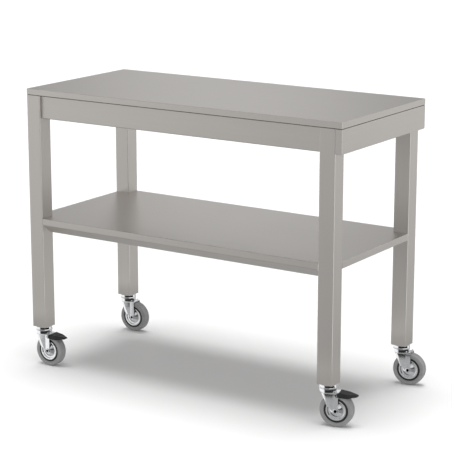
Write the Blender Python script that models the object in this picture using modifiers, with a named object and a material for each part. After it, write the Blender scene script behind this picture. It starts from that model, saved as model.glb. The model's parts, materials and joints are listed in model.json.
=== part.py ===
"""Serving trolley: a steel table frame with one shelf on four swivel castors.

Metres, +Z up, X along the table top, the front at -Y.  The two front castors carry a brake pedal.
Origin: on the floor, under the middle of the trolley's whole extent.
"""

import bmesh
import bpy
from math import cos, pi, radians, sin
from mathutils import Matrix, Vector

# Fits
FIT_GAP = 0.0003
CUT_OVERRUN = 0.004
MERGE_DISTANCE = 0.00001

# Table top
HEIGHT = 0.888
TOP_LENGTH = 1.115
TOP_DEPTH = 0.500
TOP_THICKNESS = 0.018
TOP_WALL = 0.0012
TOP_EDGE_RADIUS = 0.0012
TOP_SEAM = 0.002

# Legs
LEG_SIZE = 0.050
LEG_WALL = 0.002
LEG_CORNER_RADIUS = 0.003

# Rails under the top
RAIL_HEIGHT = 0.0705
RAIL_FLANGE = 0.022
RAIL_WALL = 0.0015
RAIL_SETBACK = 0.008
RAIL_BEND_RADIUS = 0.0025
RAIL_CORNER_RADIUS = 0.007
RAIL_END_GAP = 0.0006

# End panel outside the right-hand legs
PANEL_DEPTH = 0.0207
PANEL_WALL = 0.0015
PANEL_EDGE_RADIUS = 0.0015

# Shelf
SHELF_HEIGHT = 0.482
SHELF_WALL = 0.0012
SHELF_LIP = 0.0205
SHELF_RETURN_DEPTH = 0.025
SHELF_RETURN_DROP = 0.025
SHELF_RETURN_TAPER = 0.009
SHELF_BEND_RADIUS = 0.0015

# Stiffener under the shelf
STIFFENER_WIDTH = 0.060
STIFFENER_FOOT = 0.018
STIFFENER_HEIGHT = 0.022
STIFFENER_WALL = 0.0012
STIFFENER_END_GAP = 0.015

# Leg sockets that take the castor stems
SOCKET_PLATE = 0.004
SOCKET_NUT_HEIGHT = 0.010
SOCKET_NUT_RADIUS = 0.0105
STEM_RADIUS = 0.006
STEM_LENGTH = 0.032
STEM_CHAMFER = 0.001

# Wheel
WHEEL_RADIUS = 0.050
TYRE_DEPTH = 0.0137
TYRE_WIDTH = 0.029
TYRE_SHOULDER = 0.005
TYRE_CROWN = 0.0006
RIM_WIDTH = 0.0265
RIM_LIP = 0.0044
WEB_THICKNESS = 0.008
HUB_RADIUS = 0.0105
HUB_WIDTH = 0.0284
HUB_CLEARANCE = 0.0012
MOULD_DRAFT = 0.0003
SLEEVE_WALL = 0.0022

# Thread guards, one on each side of a wheel
GUARD_WALL = 0.0008
GUARD_BOSS_RADIUS = 0.011
GUARD_DISH_RADIUS = 0.0232
GUARD_DISH_DEPTH = 0.0064
GUARD_RING_RADIUS = 0.0307
GUARD_RING_WIDTH = 0.0034

# Axle
AXLE_RADIUS = 0.0055
AXLE_FLANGE_RADIUS = 0.0075
AXLE_FLANGE = 0.0018
AXLE_BORE_RADIUS = 0.0035
AXLE_BORE_DEPTH = 0.006

# Fork
TRAIL = 0.027
FORK_WALL = 0.0025
FORK_BEND_RADIUS = 0.005
FORK_EYE_RADIUS = 0.0085
FORK_BACK = 0.0075
FORK_FRONT = 0.017
FORK_FRONT_SHARES = ((-0.74, 0.17), (-0.32, 0.45), (-0.08, 0.66), (0.08, 0.77), (0.48, 0.82))
CROWN_CLEARANCE = 0.0018
LUG_HEIGHT = 0.006
LUG_HALF_WIDTH = 0.010

# Swivel head
RACE_HEIGHT = 0.0067
RACE_RADIUS = 0.026
RACE_FOOT_RADIUS = 0.0225
RACE_RIM = 0.0035
RACE_RIM_WALL = 0.002
HEAD_SEAM = 0.0007
CAP_RADIUS = 0.026
CAP_WALL = 0.0025
CAP_THICKNESS = 0.0081
CAP_EDGE = 0.0016
BALL_DIAMETER = 0.006
BALL_TRACK_RADIUS = 0.0175
KINGPIN_RADIUS = 0.006
KINGPIN_HEAD_RADIUS = 0.009
KINGPIN_HEAD = 0.0035

# Brake pedal
PEDAL_WALL = 0.002
PEDAL_TOP = 0.003
PEDAL_REACH = 0.060
PEDAL_RISE = 0.0082
PEDAL_DROP = 0.0058
PEDAL_EYE_RADIUS = 0.0045
PEDAL_TOE_RADIUS = 0.003
PEDAL_TOE_SOLID = 0.012
PEDAL_TOE_HALF_WIDTH = 0.010
PEDAL_TOE_CORNER = 0.0075
PEDAL_TREAD_START_SHARE = 0.105
PEDAL_TREAD_END_SHARE = 0.525
PEDAL_BELLY_START_SHARE = 0.155
PEDAL_BELLY_END_SHARE = 0.49
PEDAL_TOE_HEIGHT_SHARE = 0.20
PEDAL_ROOT_GAP = 0.0006
PIVOT_RADIUS = 0.0022
PIVOT_BEHIND_AXLE = 0.0035
PIVOT_UNDER_CROWN = 0.0050
SHOE_HALF_WIDTH = 0.012
SHOE_SETBACK = 0.0175
SHOE_LENGTH = 0.013
SHOE_CLEARANCE = 0.005

# Where each castor points: degrees from +X toward +Y
CASTOR_TURNS = {
    "front_left": 0.0,
    "rear_left": 2.0,
    "front_right": 13.5,
    "rear_right": 10.0,
}
BRAKED_CASTORS = ("front_left", "front_right")

# Facets of round pieces
TYRE_STEPS = 24
WHEEL_STEPS = 18
GUARD_STEPS = 16
HEAD_STEPS = 16
SMALL_STEPS = 12
BALL_RING_SIDES = 6
BEND_STEPS = 2
ARC_STEPS = 6
SMOOTH_ANGLE = radians(35.0)

# Heights that follow from the sizes above
AXLE_HEIGHT = WHEEL_RADIUS
CROWN_BOTTOM = 2 * WHEEL_RADIUS + CROWN_CLEARANCE
CROWN_TOP = CROWN_BOTTOM + FORK_WALL
RACE_FLOOR = CROWN_TOP + RACE_HEIGHT
RACE_TOP = RACE_FLOOR + RACE_RIM
CAP_UNDERSIDE = RACE_FLOOR + BALL_DIAMETER + 2 * FIT_GAP
CAP_TOP = CAP_UNDERSIDE + CAP_THICKNESS
LEG_BOTTOM = CAP_TOP + FIT_GAP
FRAME_TOP = HEIGHT - TOP_THICKNESS - TOP_SEAM

# Places of the legs
LEG_LEFT_X = -TOP_LENGTH / 2 + LEG_SIZE / 2
LEG_RIGHT_X = TOP_LENGTH / 2 - PANEL_DEPTH - FIT_GAP - LEG_SIZE / 2
LEG_Y = TOP_DEPTH / 2 - LEG_SIZE / 2
LEG_MIDDLE_X = (LEG_LEFT_X + LEG_RIGHT_X) / 2
LEG_PLACES = {
    "front_left": (LEG_LEFT_X, -LEG_Y),
    "rear_left": (LEG_LEFT_X, LEG_Y),
    "front_right": (LEG_RIGHT_X, -LEG_Y),
    "rear_right": (LEG_RIGHT_X, LEG_Y),
}
LEG_SPAN_X = LEG_RIGHT_X - LEG_LEFT_X
LEG_SPAN_Y = 2 * LEG_Y

# Half widths across a castor
FORK_INNER = HUB_WIDTH / 2 + HUB_CLEARANCE + GUARD_WALL + FIT_GAP
FORK_OUTER = FORK_INNER + FORK_WALL
PEDAL_INNER = FORK_OUTER + FIT_GAP
PEDAL_OUTER = PEDAL_INNER + PEDAL_WALL
PIVOT_X = TRAIL + PIVOT_BEHIND_AXLE
PIVOT_Z = CROWN_BOTTOM - PIVOT_UNDER_CROWN


# Scene helpers

def clear_scene():
    for item in list(bpy.data.objects):
        bpy.data.objects.remove(item, do_unlink=True)


def make_collection(name):
    group = bpy.data.collections.new(name)
    bpy.context.scene.collection.children.link(group)
    return group


def make_material(name, colour, roughness, metallic):
    material = bpy.data.materials.new(name)
    material.use_nodes = True
    shader = material.node_tree.nodes["Principled BSDF"]
    shader.inputs["Base Color"].default_value = (*colour, 1.0)
    shader.inputs["Roughness"].default_value = roughness
    shader.inputs["Metallic"].default_value = metallic
    material.diffuse_color = (*colour, 1.0)
    return material


def link(mesh, name="working"):
    item = bpy.data.objects.new(name, mesh)
    bpy.context.scene.collection.objects.link(item)
    return item


def bake(item):
    """The object's evaluated mesh in its own place, welded and facing out; the working object goes."""
    bpy.context.view_layer.update()
    evaluated = item.evaluated_get(bpy.context.evaluated_depsgraph_get())
    mesh = bpy.data.meshes.new_from_object(evaluated)
    mesh.transform(item.matrix_world)
    bpy.data.objects.remove(item, do_unlink=True)
    work = bmesh.new()
    work.from_mesh(mesh)
    bmesh.ops.remove_doubles(work, verts=work.verts, dist=MERGE_DISTANCE)
    bmesh.ops.recalc_face_normals(work, faces=work.faces)
    work.to_mesh(mesh)
    work.free()
    return mesh


def combine(mesh, other, operation):
    """Boolean of two meshes: DIFFERENCE, UNION or INTERSECT."""
    item = link(mesh)
    tool = link(other, "tool")
    tool.hide_render = True
    tool.display_type = 'WIRE'
    cut = item.modifiers.new(operation.title(), 'BOOLEAN')
    cut.operation = operation
    cut.solver = 'EXACT'
    cut.object = tool
    result = bake(item)
    bpy.data.objects.remove(tool, do_unlink=True)
    return result


def moved(mesh, x=0.0, y=0.0, z=0.0):
    mesh.transform(Matrix.Translation((x, y, z)))
    return mesh


def from_bmesh(work, name="shape"):
    mesh = bpy.data.meshes.new(name)
    work.to_mesh(mesh)
    work.free()
    return mesh


# Shapes

def block(size_x, size_y, size_z):
    work = bmesh.new()
    bmesh.ops.create_cube(work, size=1.0)
    bmesh.ops.scale(work, vec=(size_x, size_y, size_z), verts=work.verts)
    return from_bmesh(work)


def arc(centre, radius, start, end, steps=ARC_STEPS):
    """Points of a circular arc; angles in degrees, anticlockwise when end is the larger."""
    points = []
    for step in range(steps + 1):
        angle = radians(start + (end - start) * step / steps)
        points.append((centre[0] + radius * cos(angle), centre[1] + radius * sin(angle)))
    return points


def slab_from_outline(outline, half_width):
    """A flat outline in X and Z, thickened both ways along Y."""
    curve = bpy.data.curves.new("outline", 'CURVE')
    curve.dimensions = '2D'
    curve.fill_mode = 'BOTH'
    curve.extrude = half_width
    spline = curve.splines.new('POLY')
    spline.points.add(len(outline) - 1)
    for point, (x, z) in zip(spline.points, outline):
        point.co = (x, z, 0.0, 1.0)
    spline.use_cyclic_u = True
    item = link(curve)
    item.rotation_euler = (pi / 2, 0.0, 0.0)
    return bake(item)


def turned(profile, steps, ring=False):
    """A profile of (radius, height), running down its outer side, turned about Z."""
    work = bmesh.new()
    points = [work.verts.new((radius, 0.0, height)) for radius, height in profile]
    for first, second in zip(points, points[1:]):
        work.edges.new((first, second))
    if ring:
        work.edges.new((points[-1], points[0]))
    item = link(from_bmesh(work))
    screw = item.modifiers.new("Turn", 'SCREW')
    screw.axis = 'Z'
    screw.steps = steps
    screw.render_steps = steps
    screw.use_merge_vertices = True
    screw.merge_threshold = MERGE_DISTANCE
    return bake(item)


def across(mesh):
    """Turns a shape made about Z so that its axis lies along Y."""
    mesh.transform(Matrix.Rotation(pi / 2, 4, 'X'))
    return mesh


def thicken(work, wall, inside):
    """Solid sheet from an open surface that keeps its outer side; inside is a point on its hollow side."""
    work.normal_update()
    outward = sum((face.calc_center_median() - Vector(inside)).dot(face.normal) * face.calc_area()
                  for face in work.faces)
    if outward < 0:
        bmesh.ops.reverse_faces(work, faces=work.faces)
    item = link(from_bmesh(work))
    solidify = item.modifiers.new("Sheet", 'SOLIDIFY')
    solidify.thickness = wall
    solidify.offset = -1.0
    solidify.use_even_offset = True
    return bake(item)


def bend_edges(work, radius):
    """Rounds every edge between two faces, as a folded sheet has it."""
    folds = [edge for edge in work.edges if len(edge.link_faces) == 2]
    bmesh.ops.bevel(work, geom=folds, offset=radius, segments=BEND_STEPS, profile=0.5, affect='EDGES')


def tray(size_x, size_y, size_z, wall, radius):
    """A folded tray, open underneath, centred on its own middle."""
    work = bmesh.new()
    bmesh.ops.create_cube(work, size=1.0)
    bmesh.ops.scale(work, vec=(size_x, size_y, size_z), verts=work.verts)
    bmesh.ops.delete(work, geom=[face for face in work.faces if face.normal.z < -0.5], context='FACES')
    bend_edges(work, radius)
    return thicken(work, wall, (0.0, 0.0, -size_z / 2))


def square_tube(size, length, wall, radius):
    """A square tube along Z, open at both ends, from z = 0 up."""
    work = bmesh.new()
    bmesh.ops.create_cube(work, size=1.0)
    bmesh.ops.scale(work, vec=(size, size, length), verts=work.verts)
    bmesh.ops.delete(work, geom=[face for face in work.faces if abs(face.normal.z) > 0.5], context='FACES')
    bend_edges(work, radius)
    return moved(thicken(work, wall, (0.0, 0.0, 0.0)), z=length / 2)


def folded(profile, length, wall, radius, inside):
    """A folded profile of (y, z) points, drawn out along X and centred there."""
    work = bmesh.new()
    points = [work.verts.new((-length / 2, y, z)) for y, z in profile]
    edges = [work.edges.new(pair) for pair in zip(points, points[1:])]
    drawn = bmesh.ops.extrude_edge_only(work, edges=edges)
    ends = [part for part in drawn["geom"] if isinstance(part, bmesh.types.BMVert)]
    bmesh.ops.translate(work, vec=(length, 0.0, 0.0), verts=ends)
    bend_edges(work, radius)
    return thicken(work, wall, (0.0, *inside))


# Table frame

def top_sheet():
    mesh = tray(TOP_LENGTH, TOP_DEPTH, TOP_THICKNESS, TOP_WALL, TOP_EDGE_RADIUS)
    return moved(mesh, z=HEIGHT - TOP_THICKNESS / 2)


def top_board():
    inset = 2 * (TOP_WALL + FIT_GAP)
    low = FRAME_TOP + FIT_GAP
    high = HEIGHT - TOP_WALL - FIT_GAP
    return moved(block(TOP_LENGTH - inset, TOP_DEPTH - inset, high - low), z=(low + high) / 2)


def rail(length):
    """A folded rail along X: its face toward -Y, its lower corners rounded off, its top at z = 0."""
    profile = (
        (RAIL_FLANGE, 0.0),
        (0.0, 0.0),
        (0.0, -RAIL_HEIGHT),
        (RAIL_FLANGE, -RAIL_HEIGHT),
    )
    mesh = folded(profile, length, RAIL_WALL, RAIL_BEND_RADIUS, (RAIL_FLANGE, -RAIL_HEIGHT / 2))
    for side in (-1, 1):
        corner_x = side * length / 2
        centre = (corner_x - side * RAIL_CORNER_RADIUS, RAIL_CORNER_RADIUS - RAIL_HEIGHT)
        outline = arc(centre, RAIL_CORNER_RADIUS, 270, 270 + 90 * side)
        outline.append((corner_x + side * CUT_OVERRUN, centre[1]))
        outline.append((corner_x + side * CUT_OVERRUN, -RAIL_HEIGHT - CUT_OVERRUN))
        outline.append((centre[0], -RAIL_HEIGHT - CUT_OVERRUN))
        cutter = moved(slab_from_outline(outline, RAIL_FLANGE / 2 + CUT_OVERRUN), y=RAIL_FLANGE / 2)
        mesh = combine(mesh, cutter, 'DIFFERENCE')
    return mesh


def end_panel():
    """A tray that stands on edge outside the right-hand legs, its open side toward them."""
    mesh = tray(RAIL_HEIGHT, TOP_DEPTH, PANEL_DEPTH, PANEL_WALL, PANEL_EDGE_RADIUS)
    mesh.transform(Matrix.Rotation(pi / 2, 4, 'Y'))
    return moved(mesh, x=TOP_LENGTH / 2 - PANEL_DEPTH / 2, z=FRAME_TOP - RAIL_HEIGHT / 2)


def extrude_lip(work, edge, *steps):
    """Folds a strip from a border edge; each step is the move of the strip's free edge."""
    for step in steps:
        drawn = bmesh.ops.extrude_edge_only(work, edges=[edge])["geom"]
        ends = [part for part in drawn if isinstance(part, bmesh.types.BMVert)]
        bmesh.ops.translate(work, vec=step, verts=ends)
        edge = next(part for part in drawn if isinstance(part, bmesh.types.BMEdge)
                    and all(end in ends for end in part.verts))
    return ends


def shelf():
    """A plate notched round the legs, lipped on all sides, with slanted returns at front and back."""
    half_x = (LEG_SPAN_X + LEG_SIZE) / 2
    half_y = TOP_DEPTH / 2
    notch = LEG_SIZE + FIT_GAP
    work = bmesh.new()
    bmesh.ops.create_grid(work, x_segments=3, y_segments=3, size=1.0)
    for point in work.verts:
        x, y = point.co.x, point.co.y
        reach_x = half_x if abs(x) > 0.5 else half_x - notch
        reach_y = half_y if abs(y) > 0.5 else half_y - notch
        point.co.x = reach_x if x > 0 else -reach_x
        point.co.y = reach_y if y > 0 else -reach_y
    corners = [face for face in work.faces
               if abs(face.calc_center_median().x) > half_x - notch
               and abs(face.calc_center_median().y) > half_y - notch]
    bmesh.ops.delete(work, geom=corners, context='FACES')
    bmesh.ops.dissolve_faces(work, faces=work.faces)

    borders = []
    for edge in work.edges:
        middle = (edge.verts[0].co + edge.verts[1].co) / 2
        if abs(abs(middle.x) - half_x) < MERGE_DISTANCE or abs(abs(middle.y) - half_y) < MERGE_DISTANCE:
            borders.append((edge, middle))
    down = (0.0, 0.0, -SHELF_LIP)
    for edge, middle in borders:
        if abs(abs(middle.x) - half_x) < MERGE_DISTANCE:
            extrude_lip(work, edge, down)
            continue
        inward = -SHELF_RETURN_DEPTH if middle.y > 0 else SHELF_RETURN_DEPTH
        for end in extrude_lip(work, edge, down, (0.0, inward, -SHELF_RETURN_DROP)):
            end.co.x -= SHELF_RETURN_TAPER if end.co.x > 0 else -SHELF_RETURN_TAPER
    bend_edges(work, SHELF_BEND_RADIUS)
    mesh = thicken(work, SHELF_WALL, (0.0, 0.0, -half_y))
    return moved(mesh, x=LEG_MIDDLE_X, z=SHELF_HEIGHT)


def shelf_stiffener():
    """A hat-shaped rib along the middle of the shelf's underside."""
    half = STIFFENER_WIDTH / 2
    profile = (
        (-half - STIFFENER_FOOT, 0.0),
        (-half, 0.0),
        (-half, -STIFFENER_HEIGHT),
        (half, -STIFFENER_HEIGHT),
        (half, 0.0),
        (half + STIFFENER_FOOT, 0.0),
    )
    length = LEG_SPAN_X + LEG_SIZE - 2 * (SHELF_WALL + STIFFENER_END_GAP)
    mesh = folded(profile, length, STIFFENER_WALL, SHELF_BEND_RADIUS, (0.0, 0.0))
    return moved(mesh, x=LEG_MIDDLE_X, z=SHELF_HEIGHT - SHELF_WALL - FIT_GAP - STIFFENER_WALL)


def leg():
    mesh = square_tube(LEG_SIZE, FRAME_TOP - LEG_BOTTOM, LEG_WALL, LEG_CORNER_RADIUS)
    return moved(mesh, z=LEG_BOTTOM)


def leg_socket():
    """A plate welded across the tube's foot, with the nut that takes the castor's stem."""
    side = LEG_SIZE - 2 * (LEG_WALL + FIT_GAP)
    work = bmesh.new()
    bmesh.ops.create_cube(work, size=1.0)
    bmesh.ops.scale(work, vec=(side, side, SOCKET_PLATE), verts=work.verts)
    upright = [edge for edge in work.edges if abs(edge.verts[0].co.z - edge.verts[1].co.z) > SOCKET_PLATE / 2]
    bmesh.ops.bevel(work, geom=upright, offset=LEG_CORNER_RADIUS - LEG_WALL, segments=1, affect='EDGES')
    plate = moved(from_bmesh(work), z=LEG_BOTTOM + SOCKET_PLATE / 2)
    nut_top = LEG_BOTTOM + SOCKET_PLATE + SOCKET_NUT_HEIGHT
    nut_low = LEG_BOTTOM + SOCKET_PLATE / 2
    nut = turned(((0.0, nut_top), (SOCKET_NUT_RADIUS, nut_top), (SOCKET_NUT_RADIUS, nut_low), (0.0, nut_low)), 6)
    bore_radius = STEM_RADIUS + FIT_GAP
    high = nut_top + CUT_OVERRUN
    low = LEG_BOTTOM - CUT_OVERRUN
    bore = turned(((0.0, high), (bore_radius, high), (bore_radius, low), (0.0, low)), SMALL_STEPS)
    return combine(combine(plate, nut, 'UNION'), bore, 'DIFFERENCE')


# Castor, made about its swivel axis with the wheel trailing toward +X

def castor_head():
    """Stem, bearing cap and king pin: the part of the castor that stays still under the leg."""
    stem_top = LEG_BOTTOM + STEM_LENGTH
    head_top = CROWN_BOTTOM + FIT_GAP + KINGPIN_HEAD
    profile = (
        (0.0, stem_top),
        (STEM_RADIUS - STEM_CHAMFER, stem_top),
        (STEM_RADIUS, stem_top - STEM_CHAMFER),
        (STEM_RADIUS, CAP_TOP),
        (CAP_RADIUS - CAP_EDGE, CAP_TOP),
        (CAP_RADIUS, CAP_TOP - CAP_EDGE),
        (CAP_RADIUS, RACE_TOP + HEAD_SEAM),
        (CAP_RADIUS - CAP_WALL, RACE_TOP + HEAD_SEAM),
        (CAP_RADIUS - CAP_WALL, CAP_UNDERSIDE),
        (KINGPIN_RADIUS, CAP_UNDERSIDE),
        (KINGPIN_RADIUS, head_top),
        (KINGPIN_HEAD_RADIUS, head_top),
        (KINGPIN_HEAD_RADIUS, CROWN_BOTTOM + FIT_GAP),
        (0.0, CROWN_BOTTOM + FIT_GAP),
    )
    return turned(profile, HEAD_STEPS)


def ball_ring():
    """The ring of balls between the cap and the fork's race, as the ring that they sweep."""
    low = RACE_FLOOR + FIT_GAP
    middle = low + BALL_DIAMETER / 2
    ring_profile = arc((BALL_TRACK_RADIUS, middle), BALL_DIAMETER / 2, 90, -270, BALL_RING_SIDES)[:-1]
    return turned(ring_profile, SMALL_STEPS, ring=True)


def fork_outline():
    """Side view of the fork, from the crown's front down round the axle and up the trailing edge."""
    eye = arc((TRAIL, AXLE_HEIGHT), FORK_EYE_RADIUS, 215, 360)
    back = TRAIL + FORK_BACK
    plate_height = CROWN_TOP - AXLE_HEIGHT
    return [
        (-FORK_FRONT, CROWN_TOP),
        *[(across_share * FORK_FRONT, CROWN_TOP - down_share * plate_height)
          for across_share, down_share in FORK_FRONT_SHARES],
        *eye,
        (back, AXLE_HEIGHT + FORK_EYE_RADIUS),
        (back, CROWN_TOP),
    ]


def fork(braked):
    """Pressed fork: a bent U drawn along X, cut to its side view, with the lower race on its crown."""
    foot = AXLE_HEIGHT - FORK_EYE_RADIUS - CUT_OVERRUN
    profile = (
        (-FORK_OUTER, foot),
        (-FORK_OUTER, CROWN_TOP),
        (FORK_OUTER, CROWN_TOP),
        (FORK_OUTER, foot),
    )
    length = 2 * (TRAIL + FORK_BACK + FORK_FRONT)
    strip = folded(profile, length, FORK_WALL, FORK_BEND_RADIUS, (0.0, AXLE_HEIGHT))
    mask = slab_from_outline(fork_outline(), FORK_OUTER + CUT_OVERRUN)
    mesh = combine(strip, mask, 'INTERSECT')

    sunk = CROWN_TOP - FORK_WALL / 2
    race_profile = (
        (0.0, RACE_FLOOR),
        (RACE_RADIUS - RACE_RIM_WALL, RACE_FLOOR),
        (RACE_RADIUS - RACE_RIM_WALL, RACE_TOP),
        (RACE_RADIUS, RACE_TOP),
        (RACE_RADIUS, RACE_TOP - RACE_RIM / 2),
        (RACE_FOOT_RADIUS, CROWN_TOP),
        (RACE_FOOT_RADIUS, sunk),
        (0.0, sunk),
    )
    mesh = combine(mesh, turned(race_profile, HEAD_STEPS), 'UNION')

    if braked:
        stud_profile = (
            (0.0, PEDAL_OUTER),
            (PIVOT_RADIUS, PEDAL_OUTER),
            (PIVOT_RADIUS, FORK_INNER + FORK_WALL / 2),
            (0.0, FORK_INNER + FORK_WALL / 2),
        )
        for side in (-1, 1):
            stud = across(turned(stud_profile, SMALL_STEPS))
            if side > 0:
                stud.transform(Matrix.Rotation(pi, 4, 'Z'))
            mesh = combine(mesh, moved(stud, x=PIVOT_X, z=PIVOT_Z), 'UNION')
    else:
        lug_height = LUG_HEIGHT + FORK_WALL
        lug = block(FORK_WALL, 2 * LUG_HALF_WIDTH, lug_height)
        lug_x = TRAIL + FORK_BACK - FORK_WALL / 4
        mesh = combine(mesh, moved(lug, x=lug_x, z=CROWN_BOTTOM + lug_height / 2), 'UNION')

    head_top = CROWN_BOTTOM + 2 * FIT_GAP + KINGPIN_HEAD
    high = RACE_TOP + CUT_OVERRUN
    low = CROWN_BOTTOM - CUT_OVERRUN
    pin_bore = (
        (0.0, high),
        (KINGPIN_RADIUS + FIT_GAP, high),
        (KINGPIN_RADIUS + FIT_GAP, head_top),
        (KINGPIN_HEAD_RADIUS + FIT_GAP, head_top),
        (KINGPIN_HEAD_RADIUS + FIT_GAP, low),
        (0.0, low),
    )
    mesh = combine(mesh, turned(pin_bore, HEAD_STEPS), 'DIFFERENCE')
    reach = FORK_OUTER + CUT_OVERRUN
    axle_radius = AXLE_RADIUS + FIT_GAP
    axle_bore = turned(((0.0, reach), (axle_radius, reach), (axle_radius, -reach), (0.0, -reach)), SMALL_STEPS)
    return combine(mesh, moved(across(axle_bore), x=TRAIL, z=AXLE_HEIGHT), 'DIFFERENCE')


def axle():
    """Tubular rivet through the fork, its ends rolled over outside the plates."""
    seat = FORK_OUTER + FIT_GAP
    end = seat + AXLE_FLANGE
    floor = end - AXLE_BORE_DEPTH
    profile = (
        (0.0, floor),
        (AXLE_BORE_RADIUS, floor),
        (AXLE_BORE_RADIUS, end),
        (AXLE_FLANGE_RADIUS, (seat + end) / 2),
        (AXLE_FLANGE_RADIUS, seat),
        (AXLE_RADIUS, seat),
    )
    mirrored = tuple((radius, -height) for radius, height in reversed(profile))
    return across(turned(profile + mirrored, SMALL_STEPS))


def axle_sleeve():
    inner = AXLE_RADIUS + FIT_GAP
    outer = inner + SLEEVE_WALL
    half = FORK_INNER - GUARD_WALL - 2 * FIT_GAP
    return across(turned(((inner, half), (outer, half), (outer, -half), (inner, -half)), SMALL_STEPS, ring=True))


def thread_guard():
    """Dished disc of thin sheet, held between the sleeve's end and the fork: boss, cone and flat ring."""
    seat = FORK_INNER - FIT_GAP
    ring_face = RIM_WIDTH / 2
    face = (
        (AXLE_RADIUS + FIT_GAP, seat),
        (GUARD_BOSS_RADIUS, seat),
        (GUARD_DISH_RADIUS, seat - GUARD_DISH_DEPTH),
        (GUARD_RING_RADIUS - GUARD_RING_WIDTH, ring_face),
        (GUARD_RING_RADIUS, ring_face),
    )
    back = tuple((radius, height - GUARD_WALL) for radius, height in reversed(face))
    return across(turned(face + back, GUARD_STEPS, ring=True))


def mirrored_ring(half_profile, steps):
    """A ring whose half profile runs from its bore out over its side; the other half mirrors it."""
    other = tuple((radius, -height) for radius, height in reversed(half_profile))
    return across(turned(tuple(half_profile) + other, steps, ring=True))


def wheel_rim():
    """Moulded wheel centre: hub, thin web and the rim that carries the tyre and shows as a dark ring."""
    bore = AXLE_RADIUS + FIT_GAP + SLEEVE_WALL + FIT_GAP
    outer = WHEEL_RADIUS - TYRE_DEPTH - FIT_GAP
    inner = outer - RIM_LIP
    half_profile = (
        (bore, HUB_WIDTH / 2),
        (HUB_RADIUS, HUB_WIDTH / 2),
        (HUB_RADIUS + MOULD_DRAFT, WEB_THICKNESS / 2),
        (inner - MOULD_DRAFT, WEB_THICKNESS / 2),
        (inner, RIM_WIDTH / 2),
        (outer, RIM_WIDTH / 2),
    )
    return mirrored_ring(half_profile, WHEEL_STEPS)


def tyre():
    inner = WHEEL_RADIUS - TYRE_DEPTH
    half = TYRE_WIDTH / 2
    shoulder_radius = WHEEL_RADIUS - TYRE_CROWN - TYRE_SHOULDER
    shoulder = [(radius, height) for height, radius in
                arc((half - TYRE_SHOULDER, shoulder_radius), TYRE_SHOULDER, 0, 90, 2)]
    half_profile = [(inner, half)] + shoulder + [(WHEEL_RADIUS, TYRE_SHOULDER / 2)]
    return mirrored_ring(half_profile, TYRE_STEPS)


def pedal_outline():
    """Side view of the pedal: the eye round its pivot, a flat tread, a crease and a slope down to the toe."""
    eye = arc((PIVOT_X, PIVOT_Z), PEDAL_EYE_RADIUS, 135, 270, 4)
    top = PIVOT_Z + PEDAL_RISE
    belly = PIVOT_Z - PEDAL_DROP
    toe = (PIVOT_X + PEDAL_REACH - PEDAL_TOE_RADIUS, PIVOT_Z + PEDAL_TOE_HEIGHT_SHARE * PEDAL_RISE)
    return [
        *eye,
        (PIVOT_X + PEDAL_BELLY_START_SHARE * PEDAL_REACH, belly),
        (PIVOT_X + PEDAL_BELLY_END_SHARE * PEDAL_REACH, belly),
        *arc(toe, PEDAL_TOE_RADIUS, -60, 75, 4),
        (PIVOT_X + PEDAL_TREAD_END_SHARE * PEDAL_REACH, top),
        (PIVOT_X + PEDAL_TREAD_START_SHARE * PEDAL_REACH, top),
    ]


def pedal_plan(inset):
    """The pedal from above, as a deep block: full width as far as the crease, narrower to a rounded toe."""
    root = PIVOT_X - PEDAL_EYE_RADIUS - 2 * CUT_OVERRUN
    crease = PIVOT_X + PEDAL_TREAD_END_SHARE * PEDAL_REACH
    wide = PEDAL_OUTER + FIT_GAP - inset
    corner = (PIVOT_X + PEDAL_REACH - PEDAL_TOE_CORNER - inset, PEDAL_TOE_HALF_WIDTH - PEDAL_TOE_CORNER)
    side = [(root, wide), (crease, wide), *arc(corner, PEDAL_TOE_CORNER, 65, 0, 3)]
    outline = side + [(x, -y) for x, y in reversed(side)]
    mesh = slab_from_outline(outline, PEDAL_RISE + PEDAL_DROP + CUT_OVERRUN)
    mesh.transform(Matrix.Rotation(-pi / 2, 4, 'X'))
    return moved(mesh, z=PIVOT_Z)


def brake_pedal():
    """A moulded cover over the wheel's rear top, hollow underneath, hung on the fork's two studs."""
    mesh = combine(slab_from_outline(pedal_outline(), PEDAL_OUTER), pedal_plan(0.0), 'INTERSECT')
    roof = PIVOT_Z + PEDAL_RISE - PEDAL_TOP
    low = PIVOT_Z - PEDAL_DROP - CUT_OVERRUN
    start = PIVOT_X - PEDAL_EYE_RADIUS - CUT_OVERRUN
    end = PIVOT_X + PEDAL_REACH - PEDAL_TOE_SOLID
    behind_fork = TRAIL + FORK_BACK + PEDAL_ROOT_GAP
    over = PIVOT_Z + PEDAL_RISE + CUT_OVERRUN
    hollow = [
        (start, low),
        (end, low),
        (end, PIVOT_Z + PEDAL_TOE_HEIGHT_SHARE * PEDAL_RISE),
        (PIVOT_X + PEDAL_TREAD_END_SHARE * PEDAL_REACH, roof),
        (behind_fork, roof),
        (behind_fork, over),
        (start, over),
    ]
    space = combine(slab_from_outline(hollow, PEDAL_INNER), pedal_plan(PEDAL_WALL), 'INTERSECT')
    mesh = combine(mesh, space, 'DIFFERENCE')
    reach = PEDAL_OUTER + CUT_OVERRUN
    hole_radius = PIVOT_RADIUS + FIT_GAP
    hole = turned(((0.0, reach), (hole_radius, reach), (hole_radius, -reach), (0.0, -reach)), SMALL_STEPS)
    return combine(mesh, moved(across(hole), x=PIVOT_X, z=PIVOT_Z), 'DIFFERENCE')


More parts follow.
